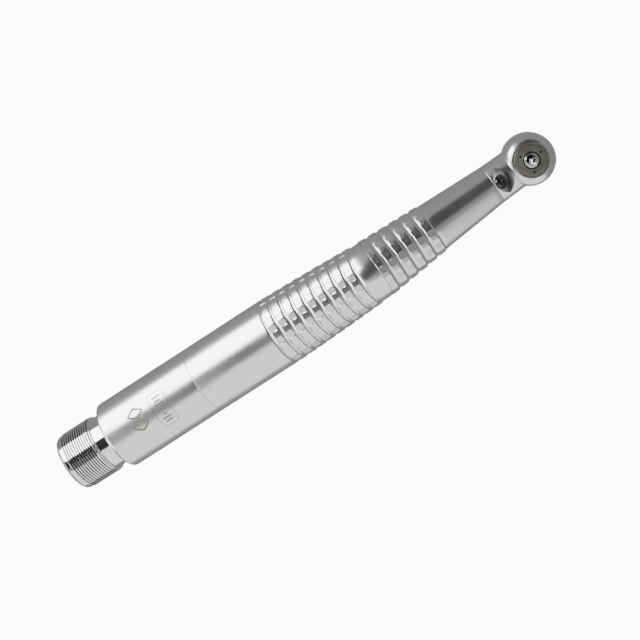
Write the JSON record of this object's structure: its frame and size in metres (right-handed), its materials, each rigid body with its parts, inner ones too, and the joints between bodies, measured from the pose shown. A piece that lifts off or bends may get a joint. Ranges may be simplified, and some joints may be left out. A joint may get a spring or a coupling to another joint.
{
  "type": "high speed dental handpiece",
  "caption": "Slim contra-angle dental air turbine handpiece with ringed grip, threaded rear hose connector, LED in the neck and a push-button head holding a blank pin.",
  "frame": {"origin": "centre of the flat rear face, where the air hose seats", "axes": "+X along the handle towards the head, +Z towards the working side where the bur leaves the head, +Y across"},
  "size_m": [0.1206, 0.015, 0.0287],
  "materials": {
    "satin_chrome": "satin",
    "polished_chrome": "polished",
    "dark_steel": "turned, dark",
    "bearing_steel": "ground",
    "brass": "machined",
    "aluminium": "machined",
    "copper": "enamelled winding",
    "magnet": "nickel-grey sintered",
    "rubber": "matte",
    "polymer": "natural polyimide",
    "ceramic": "polished",
    "lens": "clear over a dark die",
    "wire_red": "matte",
    "wire_black": "matte"
  },
  "bodies": {
    "handpiece": {"hose_connector": "polished_chrome", "connector_insert": "aluminium", "rear_seal_ring": "rubber", "rear_sleeve": "satin_chrome", "grip_sleeve": "satin_chrome", "sleeve_o_ring": "rubber", "front_sleeve": "satin_chrome", "bend_collar": "brass", "drive_inlet_tube": "aluminium", "exhaust_port": "aluminium", "drive_air_tube": "aluminium", "water_tube": "aluminium", "chip_air_tube": "aluminium", "led_wire_left": "wire_red", "led_wire_right": "wire_black", "tube_guide": "polymer", "generator_housing": "aluminium", "generator_rear_cap": "aluminium", "generator_front_cap": "aluminium", "generator_rear_bush": "brass", "generator_front_bush": "brass", "stator_core": "dark_steel", "stator_coil": "copper", "generator_carrier": "polymer", "head_shell": "satin_chrome", "led_lens": "lens", "led_board": "ceramic", "face_insert": "dark_steel", "head_cap": "satin_chrome", "button_spring": "bearing_steel", "wave_washer": "bearing_steel", "front_outer_race": "bearing_steel", "front_bearing_o_ring": "rubber", "rear_outer_race": "bearing_steel", "rear_bearing_o_ring": "rubber"},
    "button": {"push_button": "satin_chrome"},
    "turbine_rotor": {"spindle": "bearing_steel", "collet": "dark_steel", "turbine_impeller": "aluminium", "front_inner_race": "bearing_steel", "rear_inner_race": "bearing_steel"},
    "front_ball_set": {"front_cage": "polymer", "front_ball_1": "ceramic", "front_ball_2": "ceramic", "front_ball_3": "ceramic", "front_ball_4": "ceramic", "front_ball_5": "ceramic", "front_ball_6": "ceramic"},
    "rear_ball_set": {"rear_cage": "polymer", "rear_ball_1": "ceramic", "rear_ball_2": "ceramic", "rear_ball_3": "ceramic", "rear_ball_4": "ceramic", "rear_ball_5": "ceramic", "rear_ball_6": "ceramic"},
    "plunger": {"chuck_plunger": "bearing_steel"},
    "pin": {"blank_pin": "polished_chrome"},
    "generator_rotor": {"generator_shaft": "bearing_steel", "rotor_magnet": "magnet", "generator_impeller": "polymer"}
  },
  "joints": [
    {"name": "button_press", "type": "slide", "parent": "handpiece", "child": "button", "axis": [0.319, 0, 0.9478], "range_m": [0, 0.0007], "stiffness_N_per_m": 700, "springref_m": -0.001},
    {"name": "rotor_spin", "type": "hinge", "parent": "handpiece", "child": "turbine_rotor", "pos_m": [0.11466, 0, -0.01249], "axis": [0.319, 0, 0.9478], "continuous": true},
    {"name": "front_balls_roll", "type": "hinge", "parent": "handpiece", "child": "front_ball_set", "pos_m": [0.11534, 0, -0.01045], "axis": [0.319, 0, 0.9478], "continuous": true},
    {"name": "rear_balls_roll", "type": "hinge", "parent": "handpiece", "child": "rear_ball_set", "pos_m": [0.11343, 0, -0.01614], "axis": [0.319, 0, 0.9478], "continuous": true},
    {"name": "chuck_release", "type": "slide", "parent": "turbine_rotor", "child": "plunger", "axis": [0.319, 0, 0.9478], "range_m": [0, 0.00042]},
    {"name": "pin_withdraw", "type": "slide", "parent": "turbine_rotor", "child": "pin", "axis": [0.319, 0, 0.9478], "range_m": [0, 0.0115]},
    {"name": "generator_spin", "type": "hinge", "parent": "handpiece", "child": "generator_rotor", "pos_m": [0.0243, 0, 0], "axis": [1, 0, 0], "continuous": true}
  ],
  "couplings": [
    {"joint": "front_balls_roll", "follows": "rotor_spin", "ratio": 0.395},
    {"joint": "rear_balls_roll", "follows": "rotor_spin", "ratio": 0.395},
    {"joint": "chuck_release", "follows": "button_press", "ratio": 0.6}
  ]
}
